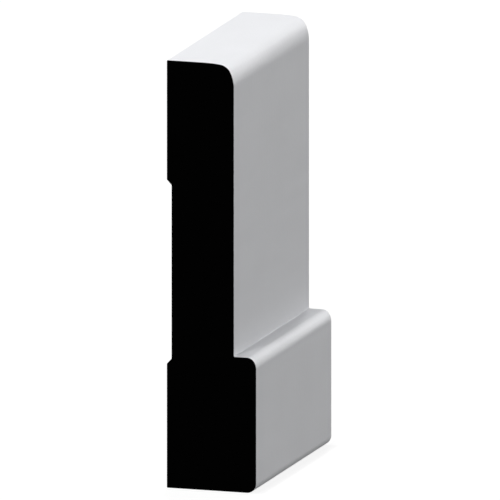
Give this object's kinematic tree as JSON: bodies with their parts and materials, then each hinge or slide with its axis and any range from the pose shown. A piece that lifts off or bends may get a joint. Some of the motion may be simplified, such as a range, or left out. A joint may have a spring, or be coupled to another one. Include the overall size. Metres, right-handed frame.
{
  "type": "architrave moulding",
  "caption": "Sample length of stepped architrave moulding: flat field, thicker banded outer edge, eased inner edge and relieved back, for trimming a door or window opening.",
  "frame": {"origin": "middle of the bounding box's base, on the outer edge that the sample stands on", "axes": "+X from the back to the face, +Y along the length, +Z across the width from the outer edge up to the inner edge"},
  "size_m": [0.019, 0.0508, 0.0889],
  "materials": {
    "primed_wood": "white primer, sprayed flat; sawn ends painted matt black"
  },
  "bodies": {
    "root": {"architrave_moulding": "primed_wood"}
  },
  "joints": []
}
